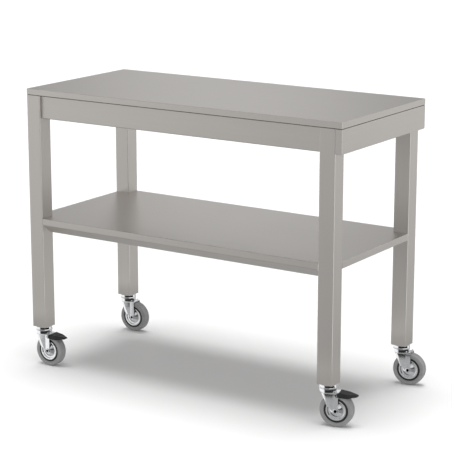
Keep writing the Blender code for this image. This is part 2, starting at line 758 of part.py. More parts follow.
def brake_shoe():
    """Block under the pedal that comes down on the tyre; its sole follows the tyre's curve."""
    roof = PIVOT_Z + PEDAL_RISE - PEDAL_TOP - FIT_GAP
    start = PIVOT_X + SHOE_SETBACK
    end = start + SHOE_LENGTH
    sole_radius = WHEEL_RADIUS + SHOE_CLEARANCE

    def sole(x):
        return AXLE_HEIGHT + (sole_radius ** 2 - (x - TRAIL) ** 2) ** 0.5

    outline = [(start, roof), (start, sole(start)), ((start + end) / 2, sole((start + end) / 2)),
               (end, sole(end)), (end, roof)]
    return slab_from_outline(outline, SHOE_HALF_WIDTH)


# Assembly

def materials():
    return {
        "sheet": make_material("satin_steel", (0.42, 0.40, 0.37), 0.40, 1.0),
        "board": make_material("core_board", (0.45, 0.33, 0.20), 0.80, 0.0),
        "plated": make_material("zinc_plate", (0.74, 0.75, 0.76), 0.22, 1.0),
        "rubber": make_material("grey_rubber", (0.17, 0.17, 0.17), 0.75, 0.0),
        "rim": make_material("black_nylon", (0.02, 0.02, 0.02), 0.55, 0.0),
        "pedal": make_material("black_moulding", (0.025, 0.025, 0.025), 0.45, 0.0),
    }


def place(name, mesh, material, group, parent, location=(0.0, 0.0, 0.0), rotation=(0.0, 0.0, 0.0)):
    if not mesh.materials:
        mesh.materials.append(material)
        mesh.shade_smooth()
        mesh.set_sharp_from_angle(angle=SMOOTH_ANGLE)
    item = bpy.data.objects.new(name, mesh)
    group.objects.link(item)
    item.parent = parent
    item.location = location
    item.rotation_euler = rotation
    return item


def empty(name, group, parent, location, turn=0.0):
    item = bpy.data.objects.new(name, None)
    group.objects.link(item)
    item.parent = parent
    item.location = location
    item.rotation_euler = (0.0, 0.0, turn)
    return item


def build_frame(group, root, look):
    rail_x = rail(LEG_SPAN_X - LEG_SIZE - 2 * RAIL_END_GAP)
    rail_y = rail(LEG_SPAN_Y - LEG_SIZE - 2 * RAIL_END_GAP)
    rail_in = TOP_DEPTH / 2 - RAIL_SETBACK
    left_in = LEG_LEFT_X - LEG_SIZE / 2 + RAIL_SETBACK
    right_in = LEG_RIGHT_X + LEG_SIZE / 2 - RAIL_SETBACK
    place("top_sheet", top_sheet(), look["sheet"], group, root)
    place("top_board", top_board(), look["board"], group, root)
    place("front_rail", rail_x, look["sheet"], group, root, (LEG_MIDDLE_X, -rail_in, FRAME_TOP))
    place("rear_rail", rail_x, look["sheet"], group, root, (LEG_MIDDLE_X, rail_in, FRAME_TOP), (0, 0, pi))
    place("left_rail", rail_y, look["sheet"], group, root, (left_in, 0, FRAME_TOP), (0, 0, -pi / 2))
    place("right_rail", rail_y, look["sheet"], group, root, (right_in, 0, FRAME_TOP), (0, 0, pi / 2))
    place("end_panel", end_panel(), look["sheet"], group, root)
    place("shelf", shelf(), look["sheet"], group, root)
    place("shelf_stiffener", shelf_stiffener(), look["sheet"], group, root)
    leg_mesh = leg()
    socket_mesh = leg_socket()
    for where, (x, y) in LEG_PLACES.items():
        place(f"leg_{where}", leg_mesh, look["sheet"], group, root, (x, y, 0))
        place(f"leg_socket_{where}", socket_mesh, look["plated"], group, root, (x, y, 0))


def build_castors(group, root, look):
    head = castor_head()
    balls = ball_ring()
    forks = {False: fork(False), True: fork(True)}
    axle_place = (TRAIL, 0, AXLE_HEIGHT)
    pivot_place = (PIVOT_X, 0, PIVOT_Z)
    on_fork = (("axle", axle(), "plated"), ("axle_sleeve", axle_sleeve(), "plated"))
    guard = thread_guard()
    on_wheel = (("wheel_rim", wheel_rim(), "rim"), ("tyre", tyre(), "rubber"))
    on_pedal = (("brake_pedal", brake_pedal(), "pedal"), ("brake_shoe", brake_shoe(), "pedal"))
    for name, mesh, slot in on_pedal:
        moved(mesh, x=-PIVOT_X, z=-PIVOT_Z)
    for where, (x, y) in LEG_PLACES.items():
        braked = where in BRAKED_CASTORS
        swivel = empty(f"swivel_{where}", group, root, (x, y, 0), radians(CASTOR_TURNS[where]))
        place(f"castor_head_{where}", head, look["plated"], group, root, (x, y, 0))
        place(f"ball_ring_{where}", balls, look["plated"], group, root, (x, y, 0))
        place(f"fork_{where}", forks[braked], look["plated"], group, swivel)
        for name, mesh, slot in on_fork:
            place(f"{name}_{where}", mesh, look[slot], group, swivel, axle_place)
        place(f"front_guard_{where}", guard, look["plated"], group, swivel, axle_place)
        place(f"back_guard_{where}", guard, look["plated"], group, swivel, axle_place, (0, 0, pi))
        spin = empty(f"spin_{where}", group, swivel, axle_place)
        for name, mesh, slot in on_wheel:
            place(f"{name}_{where}", mesh, look[slot], group, spin)
        if braked:
            pivot = empty(f"pivot_{where}", group, swivel, pivot_place)
            for name, mesh, slot in on_pedal:
                place(f"{name}_{where}", mesh, look[slot], group, pivot)


def centre_on_floor(group, root):
    """Moves the root so that the origin lies on the floor under the middle of the whole extent."""
    bpy.context.view_layer.update()
    points = [item.matrix_world @ point.co for item in group.objects if item.type == 'MESH'
              for point in item.data.vertices]
    for axis in (0, 1):
        values = [point[axis] for point in points]
        root.location[axis] -= (min(values) + max(values)) / 2
    root.location[2] -= min(point[2] for point in points)


def main():
    clear_scene()
    group = make_collection("serving_trolley")
    root = empty("trolley_origin", group, None, (0, 0, 0))
    look = materials()
    build_frame(group, root, look)
    build_castors(group, root, look)
    centre_on_floor(group, root)
    bpy.context.view_layer.update()


main()
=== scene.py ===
"""Serving trolley in satin steel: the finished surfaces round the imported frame.

Metres, +Z up, the front at -Y. Castor pieces are made about their swivel axis, with the wheel trailing
toward +X, and are then copied to the four corners.
"""
import json
from math import atan2, cos, pi, radians, sin

import bmesh
import bpy
from mathutils import Matrix, Vector


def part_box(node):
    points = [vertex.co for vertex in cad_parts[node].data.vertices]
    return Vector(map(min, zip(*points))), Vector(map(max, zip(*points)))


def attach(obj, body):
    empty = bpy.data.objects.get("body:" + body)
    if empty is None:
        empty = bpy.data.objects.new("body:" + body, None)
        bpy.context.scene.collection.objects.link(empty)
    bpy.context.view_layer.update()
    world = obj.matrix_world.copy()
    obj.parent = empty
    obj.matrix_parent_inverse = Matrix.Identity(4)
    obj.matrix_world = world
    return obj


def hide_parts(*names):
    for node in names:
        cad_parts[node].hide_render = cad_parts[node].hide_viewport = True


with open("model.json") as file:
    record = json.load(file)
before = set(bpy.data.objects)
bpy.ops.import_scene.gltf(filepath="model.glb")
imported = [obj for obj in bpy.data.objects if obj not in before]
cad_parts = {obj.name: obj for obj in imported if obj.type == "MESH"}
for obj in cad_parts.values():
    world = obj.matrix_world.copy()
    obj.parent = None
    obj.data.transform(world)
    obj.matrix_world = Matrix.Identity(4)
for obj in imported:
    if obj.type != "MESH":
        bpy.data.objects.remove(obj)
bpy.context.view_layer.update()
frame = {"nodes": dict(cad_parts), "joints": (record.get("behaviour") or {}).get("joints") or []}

# Sheet metal
TOP_WALL = 0.0012
TOP_EDGE_RADIUS = 0.0012
RAIL_WALL = 0.0015
RAIL_BEND_RADIUS = 0.0025
RAIL_CORNER_RADIUS = 0.007
PANEL_WALL = 0.0015
PANEL_EDGE_RADIUS = 0.0015
LEG_WALL = 0.002
LEG_CORNER_RADIUS = 0.002
SHELF_WALL = 0.0012
SHELF_LIP = 0.0205
SHELF_RETURN_DEPTH = 0.025
SHELF_RETURN_DROP = 0.025
SHELF_RETURN_TAPER = 0.009
SHELF_BEND_RADIUS = 0.0015
LEG_SIZE = 0.050
STIFFENER_FOOT = 0.018
STIFFENER_WALL = 0.0012
BEND_STEPS = 6
CUT_EDGE = 0.00025
CUT_OVERRUN = 0.004
MERGE_DISTANCE = 0.00001
FOLD_ANGLE = 0.1
SMOOTH_ANGLE = radians(32.0)

# Swivel head and fork
FIT_GAP = 0.0003
CROWN_TOP = 0.1043
CROWN_FRONT_X = -0.0300
CROWN_OVERRUN = 0.001
FORK_WALL = 0.0025
FORK_HALF_WIDTH = 0.0190
FORK_BEND_RADIUS = 0.005
FORK_BACK_X = 0.0345
FORK_OUTLINE = (
    (-0.0170, CROWN_TOP + CROWN_OVERRUN), (-0.0170, CROWN_TOP), (-0.0126, 0.0950),
    (-0.0054, 0.0799), (-0.0014, 0.0685), (0.0014, 0.0625), (0.0082, 0.0598),
)
FORK_OUTLINE_HALF_WIDTH = 0.035
LIP_TOP_POINT = 1
LIP_FOOT_POINT = 4
FORK_EYE_RADIUS = 0.0085
FORK_EYE_START = 215.0
AXLE_HOLE_RADIUS = 0.0056
AXLE_HOLE_DEPTH = 0.060
CHEEK_CREASE_X = 0.0190
CHEEK_CREASE_HALF = 0.001
CHEEK_FLARE = radians(9.0)
CHEEK_FLARE_END = 0.0170
CHEEK_LIP = 0.0095
CHEEK_LIP_RADIUS = 0.0160
CHEEK_LIP_STEPS = 6
CHEEK_LIP_LOW = 0.078
CHEEK_LIP_FULL = 0.090
CHEEK_LIP_LEAST_SHARE = 0.55
PRESSED_EDGE = 0.0004
LUG_WALL = 0.0025
LUG_HALF_WIDTH = 0.010
LUG_FOOT = 0.0020
LUG_RISE = 0.0060
LUG_CORNER_RADIUS = 0.0030
STUD_RADIUS = 0.0022
STUD_STEPS = 24
HOLE_STEPS = 48
# Radii across which the axle's bore fades into its painted shade
PAINTED_HOLE_SHADE_EDGE = (0.0040, 0.0045)
RINGS_FOOT = (0.1030, 0.1036)
SHARP_ANGLE = 50.0

# Brake pedal: each station is its place along X, half width, roof and foot
PIVOT = (0.0305, 0.0, 0.0968)
PEDAL_STATIONS = (
    (0.0262, 0.0213, 0.1013, 0.0923), (0.0305, 0.0213, 0.1018, 0.0923), (0.0340, 0.0213, 0.1036, 0.0921),
    (0.0353, 0.0213, 0.1048, 0.0919), (0.0368, 0.0213, 0.1053, 0.0917), (0.0420, 0.0213, 0.1047, 0.0912),
    (0.0500, 0.0213, 0.1035, 0.0909), (0.0560, 0.0212, 0.1026, 0.0909), (0.0596, 0.0210, 0.1020, 0.0910),
    (0.0600, 0.0210, 0.1028, 0.0910), (0.0615, 0.0208, 0.1026, 0.0911), (0.0622, 0.0205, 0.1016, 0.0912),
    (0.0680, 0.0180, 0.1012, 0.0920), (0.0760, 0.0142, 0.1006, 0.0933), (0.0840, 0.0103, 0.1000, 0.0946),
    (0.0868, 0.0087, 0.0998, 0.0952), (0.0890, 0.0066, 0.0994, 0.0959), (0.0902, 0.0044, 0.0989, 0.0966),
)
PEDAL_WALL = 0.002
PEDAL_DRAFT = 0.0035
PEDAL_ROOF_START_X = 0.0350
PEDAL_DRAFT_START_X = 0.0355
PEDAL_EDGE_RADIUS = 0.0016
PEDAL_ARM_RADIUS = 0.0040
PEDAL_ARM_Y = 0.0203
PEDAL_HOLE_DEPTH = 0.006
PEDAL_FOLD_ANGLE = 0.9
PEDAL_ROOF_RISE = 0.0002
MOULDED_EDGE = 0.0003
NEARLY = 0.0001

# Wheel
AXLE = (0.027, 0.0, 0.050)
GUARD_WALL = 0.0008
RING_STEPS = 72
TYRE_STEPS = 96

# Camera and floor
CAMERA_SENSOR = 36.0
CAMERA_LENS = 135.9
CAMERA_REACH = 300.0
CAMERA_TURN = 33.335
CAMERA_TILT = 13.400
CAMERA_FROM_CORNER = (3.3754, -4.0143, 0.8051)
FLOOR_SIZE = 120.0
FLOOR_TONE = 0.86

# Overhead lamp
LAMP_STRENGTH = 2.35
LAMP_SPREAD = 33.0
LAMP_TILT = -1.0

# Room: each patch is its azimuth, elevation, inner and outer radius in degrees, and change of level
ROOM_LEVEL = 0.86
ROOM_PATCHES = (
    (-147.0, -1.0, 6.0, 24.0, -0.72),
    (-147.0, 40.0, 10.0, 26.0, -0.50),
    (9.0, -11.0, 33.0, 38.0, -0.44),
    (-48.0, -6.0, 6.0, 20.0, 0.20),
    (80.0, -14.0, 26.0, 44.0, 0.50),
    (146.0, -20.0, 6.0, 18.0, -0.52),
    (154.0, -3.0, 8.0, 18.0, 0.22),
    (-38.0, -28.0, 10.0, 18.0, -0.52),
    (0.0, 90.0, 40.0, 66.0, -0.42),
    (0.0, -90.0, 30.0, 70.0, -0.35),
)

# Upright bright bar behind, by its azimuth, half width and soft edge in degrees
BAR_AZIMUTH = -146.6
BAR_MIDDLE = 10.0
BAR_HALF_WIDTH = 2.0
BAR_EDGE = 8.0
BAR_FADE = (0.3, 0.8)
BAR_CHANGE = 0.54

# Low cards round the castors: each patch is its azimuth, inner and outer half width, and change of level
CARD_RADIUS = 0.18
CARD_LOW = -0.10
CARD_HIGH = 0.088
CARD_LEVEL = 1.22
CARD_DARKEST = 0.03
CARD_PATCHES = (
    (40.0, 61.0, 66.0, -0.72),
    (58.0, 30.0, 40.0, -0.20),
    (170.0, 20.0, 40.0, -0.68),
)
HEAD_PATCH = (50.0, 60.0, 64.0, -1.15)
HEAD_PATCH_LOW = 0.042
HEAD_PATCH_FADE = 0.006
LID_RADIUS = 0.19
LID_HEIGHT = 0.1245
LID_LEVEL = 0.50
CARD_STEPS = 96

CORNERS = ("front_left", "rear_left", "front_right", "rear_right")
BRAKED = ("front_left", "front_right")
REAR = ("rear_left", "rear_right")
LENGTHWISE = Vector((1.0, 0.0, 0.0))
CROSSWISE = Vector((0.0, 1.0, 0.0))


# Modelling by hand

def take(piece):
    """Selects one piece alone and makes it the active one."""
    bpy.ops.object.select_all(action='DESELECT')
    bpy.context.view_layer.objects.active = piece
    piece.select_set(True)
    return piece


def start(name):
    """Names the primitive that was just added and puts its place into its mesh."""
    piece = bpy.context.active_object
    piece.name = name
    piece.data.name = name
    bpy.ops.object.transform_apply(location=True, rotation=True, scale=True)
    return piece


def block(name, low, high):
    """A block between two corners, where a folded tray or a tube starts."""
    low = Vector(low)
    high = Vector(high)
    bpy.ops.object.select_all(action='DESELECT')
    bpy.ops.mesh.primitive_cube_add(size=1.0, location=(low + high) / 2, scale=high - low)
    return start(name)


def plate(name, low, high):
    """A flat sheet between two corners of the same height."""
    low = Vector(low)
    high = Vector(high)
    bpy.ops.object.select_all(action='DESELECT')
    bpy.ops.mesh.primitive_plane_add(size=1.0, location=(low + high) / 2)
    bpy.context.active_object.scale = (high.x - low.x, high.y - low.y, 1.0)
    return start(name)


def middle(part):
    """The middle of a face or an edge, or the place of a point."""
    if isinstance(part, bmesh.types.BMVert):
        return part.co
    return sum((point.co for point in part.verts), Vector()) / len(part.verts)


def span(edge):
    """How far an edge reaches along each axis."""
    step = edge.verts[0].co - edge.verts[1].co
    return Vector((abs(step.x), abs(step.y), abs(step.z)))


def pick(piece, kind, test):
    """Opens the piece in edit mode with only its faces, edges or points that pass the test selected."""
    if piece.mode != 'EDIT':
        take(piece)
        bpy.ops.object.mode_set(mode='EDIT')
    bpy.ops.mesh.select_mode(type=kind)
    bpy.ops.mesh.select_all(action='DESELECT')
    mesh = bmesh.from_edit_mesh(piece.data)
    parts = {'FACE': mesh.faces, 'EDGE': mesh.edges, 'VERT': mesh.verts}[kind]
    for part in parts:
        if test(part):
            part.select_set(True)
    bmesh.update_edit_mesh(piece.data)


def close():
    """Leaves edit mode."""
    bpy.ops.object.mode_set(mode='OBJECT')


def extrude(step):
    """Draws the selected edges out by one step."""
    bpy.ops.mesh.extrude_edges_move(TRANSFORM_OT_translate={"value": step})


def drop_faces(piece, test):
    """Deletes the faces that pass the test."""
    pick(piece, 'FACE', test)
    bpy.ops.mesh.delete(type='FACE')
    close()


def round_folds(piece, radius, test=None, steps=BEND_STEPS):
    """Rounds every fold of an open sheet, or the edges that pass the test."""
    folded = test or (lambda edge: not edge.is_boundary and edge.calc_face_angle(0.0) > FOLD_ANGLE)
    pick(piece, 'EDGE', folded)
    bpy.ops.mesh.bevel(offset=radius, offset_type='OFFSET', segments=steps, profile=0.5, affect='EDGES')
    close()


def apply(piece, kind, **settings):
    """Adds one modifier and applies it."""
    take(piece)
    modifier = piece.modifiers.new(kind.title(), kind)
    for name, value in settings.items():
        setattr(modifier, name, value)
    bpy.ops.object.modifier_apply(modifier=modifier.name)


def thicken(piece, wall):
    """Gives a sheet its wall, inward from the face that shows."""
    apply(piece, 'SOLIDIFY', thickness=wall, offset=-1.0, use_even_offset=True)


def cut(piece, tool, operation='DIFFERENCE'):
    """Cuts the piece with a tool, or to the tool's outline, and clears the tool away."""
    apply(piece, 'BOOLEAN', object=tool, operation=operation, solver='EXACT')
    bpy.data.objects.remove(tool)


def ease(piece, radius, steps=2, angle=40.0):
    """Takes the sharpness off every cut edge."""
    apply(piece, 'BEVEL', width=radius, segments=steps, limit_method='ANGLE', angle_limit=radians(angle))


def smooth(piece):
    """Shades the piece smooth, with flat faces kept flat right up to their rounded edges."""
    take(piece)
    bpy.ops.object.shade_smooth_by_angle(angle=SMOOTH_ANGLE)
    apply(piece, 'WEIGHTED_NORMAL', weight=100, keep_sharp=True)
    return piece


def mend(piece):
    """Merges doubled points and turns every face outward."""
    pick(piece, 'VERT', lambda point: True)
    bpy.ops.mesh.remove_doubles(threshold=MERGE_DISTANCE)
    bpy.ops.mesh.normals_make_consistent(inside=False)
    close()


def turn_over(piece):
    """Turns every face of an open sheet to its other side."""
    pick(piece, 'FACE', lambda face: True)
    bpy.ops.mesh.flip_normals()
    close()


def largest_face(piece):
    """The face of most area."""
    return max(piece.data.polygons, key=lambda face: face.area)


def highest_face(piece):
    """The face whose middle lies highest."""
    return max(piece.data.polygons, key=lambda face: face.center.z)


def join(name, *pieces):
    """Makes one piece of several, under one name."""
    take(pieces[0])
    for piece in pieces[1:]:
        piece.select_set(True)
    bpy.ops.object.join()
    pieces[0].name = name
    return pieces[0]


def turned(name, profile, ring=False, steps=RING_STEPS):
    """Turns a profile of (radius, height) points about Z: a circle, drawn up and resized point by point."""
    (radius, height), *others = profile
    bpy.ops.object.select_all(action='DESELECT')
    bpy.ops.mesh.primitive_circle_add(vertices=steps, radius=radius, location=(0.0, 0.0, height))
    piece = start(name)
    pick(piece, 'EDGE', lambda edge: True)
    for next_radius, next_height in (*others, *([profile[0]] if ring else [])):
        extrude((0.0, 0.0, next_height - height))
        factor = next_radius / radius
        bpy.ops.transform.resize(value=(factor, factor, 1.0), center_override=(0.0, 0.0, next_height))
        radius = next_radius
        height = next_height
    bpy.ops.mesh.select_all(action='SELECT')
    bpy.ops.mesh.remove_doubles(threshold=MERGE_DISTANCE)
    if not ring:
        bpy.ops.mesh.select_all(action='SELECT')
        bpy.ops.mesh.fill_holes(sides=0)
    bpy.ops.mesh.select_all(action='SELECT')
    bpy.ops.mesh.normals_make_consistent(inside=False)
    close()
    return piece


def arc(centre, radius, first, last, steps=6):
    """Points of a profile along a circle, in degrees from the first angle to the last."""
    angles = [radians(first + (last - first) * step / steps) for step in range(steps + 1)]
    return [(centre[0] + radius * cos(angle), centre[1] + radius * sin(angle)) for angle in angles]


def mirrored(profile):
    """The other half of a profile, below, from its last point back to its first."""
    return [(radius, -height) for radius, height in reversed(profile)]


def outline_block(name, outline, half_width):
    """A block with an outline in X and Z, as wide as twice the half width."""
    bpy.ops.object.select_all(action='DESELECT')
    bpy.ops.mesh.primitive_circle_add(vertices=len(outline), radius=1.0, fill_type='NGON')
    piece = start(name)
    for point, (x, z) in zip(piece.data.vertices, outline):
        point.co = (x, -half_width, z)
    pick(piece, 'FACE', lambda face: True)
    bpy.ops.mesh.extrude_region_move(TRANSFORM_OT_translate={"value": (0.0, 2 * half_width, 0.0)})
    close()
    mend(piece)
    return piece


def drill(name, place, radius, depth, steps):
    """A round tool across the castor, to cut a hole."""
    bpy.ops.object.select_all(action='DESELECT')
    bpy.ops.mesh.primitive_cylinder_add(vertices=steps, radius=radius, depth=depth, location=place,
                                        rotation=(pi / 2, 0.0, 0.0))
    return start(name)


# Sheet steel pieces

def table_top():
    """Tray of thin sheet over the board: flat face, skirt folded down all round, welded corners."""
    tray = block("table_top", *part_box("top_sheet"))
    drop_faces(tray, lambda face: face.normal.z < -0.5)
    round_folds(tray, TOP_EDGE_RADIUS)
    thicken(tray, TOP_WALL)
    ease(tray, CUT_EDGE)
    return smooth(tray)


def folded_rail(side, along, inward):
    """C-shaped rail: web outside, a flange at top and bottom turned inward, lower corners rounded off."""
    low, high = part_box(f"{side}_rail")
    rail = block(f"rail_{side}", low, high)
    drop_faces(rail, lambda face: face.normal.dot(inward) > 0.5 or abs(face.normal.dot(along)) > 0.5)
    round_folds(rail, RAIL_BEND_RADIUS)
    thicken(rail, RAIL_WALL)
    over = CUT_OVERRUN * (LENGTHWISE + CROSSWISE - along)
    mask = block("rail_corners", low - over, high + over + Vector((0.0, 0.0, CUT_OVERRUN)))
    round_folds(mask, RAIL_CORNER_RADIUS, lambda edge: middle(edge).z < low.z + MERGE_DISTANCE
                and span(edge).dot(along) < MERGE_DISTANCE)
    cut(rail, mask, 'INTERSECT')
    ease(rail, CUT_EDGE)
    return smooth(rail)


def end_panel():
    """Shallow tray on edge that closes the end, its skirt turned toward the legs."""
    tray = block("end_cover", *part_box("end_panel"))
    drop_faces(tray, lambda face: face.normal.x < -0.5)
    round_folds(tray, PANEL_EDGE_RADIUS)
    thicken(tray, PANEL_WALL)
    ease(tray, CUT_EDGE)
    return smooth(tray)


def shelf_tray():
    """Shelf notched round the legs, with a lip on every side and a slanted return along front and back."""
    low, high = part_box("shelf")
    half = (high - low) / 2
    centre = (high + low) / 2
    notch = LEG_SIZE + FIT_GAP
    # The grid reaches 1 m to each side, with its inner lines at a third of that.
    inner = 1 / 3
    bpy.ops.object.select_all(action='DESELECT')
    bpy.ops.mesh.primitive_grid_add(x_subdivisions=3, y_subdivisions=3, size=2.0)
    tray = start("shelf_tray")
    for axis in (0, 1):
        for side in (-1, 1):
            step = Vector((0.0, 0.0, 0.0))
            step[axis] = side * (half[axis] - 1.0)
            pick(tray, 'VERT', lambda point: side * point.co[axis] > 0.5)
            bpy.ops.transform.translate(value=step)
            step[axis] = side * (half[axis] - notch - inner)
            pick(tray, 'VERT', lambda point: abs(side * point.co[axis] - inner) < 0.01)
            bpy.ops.transform.translate(value=step)
    pick(tray, 'VERT', lambda point: True)
    bpy.ops.transform.translate(value=(centre.x, centre.y, high.z))
    close()
    drop_faces(tray, lambda face: abs(middle(face).x - centre.x) > half.x - notch
               and abs(middle(face).y - centre.y) > half.y - notch)
    pick(tray, 'FACE', lambda face: True)
    bpy.ops.mesh.dissolve_faces()
    close()
    for side in (-1, 1):
        pick(tray, 'EDGE', lambda edge: abs(middle(edge).x - centre.x - side * half.x) < MERGE_DISTANCE)
        extrude((0.0, 0.0, -SHELF_LIP))
        pick(tray, 'EDGE', lambda edge: abs(middle(edge).y - centre.y - side * half.y) < MERGE_DISTANCE
             and middle(edge).z > high.z - MERGE_DISTANCE)
        extrude((0.0, 0.0, -SHELF_LIP))
        extrude((0.0, -side * SHELF_RETURN_DEPTH, -SHELF_RETURN_DROP))
        taper = 1 - SHELF_RETURN_TAPER / (half.x - notch)
        bpy.ops.transform.resize(value=(taper, 1.0, 1.0), center_override=centre)
        close()
    mend(tray)
    if largest_face(tray).normal.z < 0:
        turn_over(tray)
    round_folds(tray, SHELF_BEND_RADIUS)
    thicken(tray, SHELF_WALL)
    ease(tray, CUT_EDGE)
    return smooth(tray)


def shelf_rib():
    """Hat-shaped rib under the middle of the shelf."""
    low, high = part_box("shelf_stiffener")
    foot = high.y - low.y - 2 * STIFFENER_FOOT
    rib = plate("shelf_rib", (low.x, low.y, high.z), (high.x, low.y + STIFFENER_FOOT, high.z))
    pick(rib, 'EDGE', lambda edge: middle(edge).y > low.y + STIFFENER_FOOT - MERGE_DISTANCE)
    drop = high.z - low.z
    for step in ((0.0, 0.0, -drop), (0.0, foot, 0.0), (0.0, 0.0, drop), (0.0, STIFFENER_FOOT, 0.0)):
        extrude(step)
    close()
    mend(rib)
    if largest_face(rib).normal.z > 0:
        turn_over(rib)
    round_folds(rib, SHELF_BEND_RADIUS)
    thicken(rib, STIFFENER_WALL)
    ease(rib, CUT_EDGE)
    return smooth(rib)


def leg_tube(corner):
    """Square tube with drawn corners, cut square at both ends."""
    tube = block(f"leg_tube_{corner}", *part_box(f"leg_{corner}"))
    drop_faces(tube, lambda face: abs(face.normal.z) > 0.5)
    round_folds(tube, LEG_CORNER_RADIUS)
    thicken(tube, LEG_WALL)
    ease(tube, CUT_EDGE)
    return smooth(tube)


# Castor pieces, about the swivel axis

def bearing_cap():
    """Stem, pressed cap with a beaded lower edge, and king pin with its head."""
    profile = [
        (0.0048, 0.1580), (0.0060, 0.1568), (0.0060, 0.1257), (0.0237, 0.1257),
        *arc((0.0237, 0.1242), 0.0015, 90, 0, 4)[1:],
        (0.0252, 0.1181), (0.0254, 0.1178), (0.0258, 0.1176), (0.0259, 0.1173),
        (0.0260, 0.1157), (0.0257, 0.1153), (0.0250, 0.1152), (0.0238, 0.1152),
        (0.0235, 0.1155), (0.0235, 0.1176), (0.0060, 0.1176),
        (0.0060, 0.1056), (0.0090, 0.1056), (0.0090, 0.1028), (0.0084, 0.1021),
    ]
    return smooth(turned("bearing_cap", profile))


def lower_race():
    """Cup that is pressed up out of the crown and carries the balls."""
    profile = [
        (0.0063, 0.1110), (0.0236, 0.1110), (0.0240, 0.1114), (0.0240, 0.1141),
        (0.0244, 0.1145), (0.0255, 0.1145), (0.0260, 0.1140), (0.0260, 0.1130),
        (0.0256, 0.1127), (0.0249, 0.1125), (0.0247, 0.1120), (0.0251, 0.1052),
        (0.0244, 0.1046), (0.0238, 0.1043), (0.0238, 0.1030), (0.0063, 0.1030),
    ]
    return turned("lower_race", profile, ring=True)


def pressed_fork(name, braked):
    """Strip bent down on both sides of the wheel, its cheeks creased and their leading edges turned in."""
    foot = AXLE[2] - FORK_EYE_RADIUS - CUT_OVERRUN
    fork = plate("pressed_strip", (CROWN_FRONT_X, -FORK_HALF_WIDTH, CROWN_TOP),
                 (FORK_BACK_X, FORK_HALF_WIDTH, CROWN_TOP))
    pick(fork, 'EDGE', lambda edge: abs(middle(edge).y) > FORK_HALF_WIDTH - MERGE_DISTANCE)
    extrude((0.0, 0.0, foot - CROWN_TOP))
    close()
    mend(fork)
    if highest_face(fork).normal.z < 0:
        turn_over(fork)
    round_folds(fork, FORK_BEND_RADIUS)
    lip_top = FORK_OUTLINE[LIP_TOP_POINT]
    lip_foot = FORK_OUTLINE[LIP_FOOT_POINT]
    along = Vector((lip_top[0] - lip_foot[0], 0.0, lip_top[1] - lip_foot[1])).normalized()
    across = Vector((along.z, 0.0, -along.x))
    lip = Vector((lip_foot[0], 0.0, lip_foot[1])) + across * CHEEK_LIP
    creases = (CHEEK_CREASE_X + CHEEK_CREASE_HALF, CHEEK_CREASE_X, CHEEK_CREASE_X - CHEEK_CREASE_HALF)
    levels = (CHEEK_LIP_FULL, (CHEEK_LIP_FULL + CHEEK_LIP_LOW) / 2, CHEEK_LIP_LOW)
    cuts = [((x, 0.0, 0.0), (1.0, 0.0, 0.0)) for x in creases]
    cuts += [(lip - across * CHEEK_LIP * step / CHEEK_LIP_STEPS, across) for step in range(CHEEK_LIP_STEPS)]
    cuts += [((0.0, 0.0, z), (0.0, 0.0, 1.0)) for z in levels]
    for place, facing in cuts:
        pick(fork, 'FACE', lambda face: True)
        bpy.ops.mesh.bisect(plane_co=place, plane_no=facing)
    close()
    for point in fork.data.vertices:
        side = 1 if point.co.y > 0 else -1
        bend = (abs(point.co.y) - FORK_HALF_WIDTH + FORK_BEND_RADIUS) / FORK_BEND_RADIUS
        if bend <= 0:
            continue
        ahead = min(max(0.0, CHEEK_CREASE_X - point.co.x), CHEEK_FLARE_END)
        past = min(max(0.0, (lip - point.co).dot(across)), CHEEK_LIP + CUT_OVERRUN)
        high = min(max((point.co.z - CHEEK_LIP_LOW) / (CHEEK_LIP_FULL - CHEEK_LIP_LOW), 0.0), 1.0)
        share = CHEEK_LIP_LEAST_SHARE + (1 - CHEEK_LIP_LEAST_SHARE) * high
        turn_in = share * past * past / (2 * CHEEK_LIP_RADIUS)
        point.co.y += side * min(bend, 1.0) * (sin(CHEEK_FLARE) * ahead - turn_in)
    thicken(fork, FORK_WALL)
    eye = arc((AXLE[0], AXLE[2]), FORK_EYE_RADIUS, FORK_EYE_START, 360.0, 14)
    outline = [*FORK_OUTLINE, *eye, (FORK_BACK_X, CROWN_TOP + CROWN_OVERRUN)]
    cut(fork, outline_block("fork_outline", outline, FORK_OUTLINE_HALF_WIDTH), 'INTERSECT')
    cut(fork, drill("axle_hole", AXLE, AXLE_HOLE_RADIUS, AXLE_HOLE_DEPTH, HOLE_STEPS))
    ease(fork, PRESSED_EDGE, angle=SHARP_ANGLE)
    shells = [fork, lower_race()]
    if braked:
        profile = [(0.0014, 0.0216), (0.0020, 0.0214), (STUD_RADIUS, 0.0210), (STUD_RADIUS, 0.0170)]
        for side in (-1, 1):
            stud = turned("stud", profile, steps=STUD_STEPS)
            stud.data.transform(Matrix.Translation(PIVOT) @ Matrix.Rotation(side * pi / 2, 4, 'X'))
            shells.append(stud)
    else:
        lug = block("lug", (FORK_BACK_X - LUG_WALL, -LUG_HALF_WIDTH, CROWN_TOP - LUG_FOOT),
                    (FORK_BACK_X, LUG_HALF_WIDTH, CROWN_TOP + LUG_RISE))
        round_folds(lug, LUG_CORNER_RADIUS, lambda edge: span(edge).x > NEARLY and middle(edge).z > CROWN_TOP)
        ease(lug, PRESSED_EDGE, angle=SHARP_ANGLE)
        shells.append(lug)
    return smooth(join(name, *shells))


def axle_rivet():
    """Tubular rivet, its ends rolled over outside the fork."""
    half = [
        (0.0038, 0.0080), (0.0041, 0.0095), (0.0041, 0.0202), (0.0045, 0.0209),
        (0.0053, 0.0211), (0.0066, 0.0206), (0.0074, 0.0199), (0.0075, 0.0193), (0.0055, 0.0193),
    ]
    return smooth(turned("axle_rivet", [*half, *mirrored(half)]))


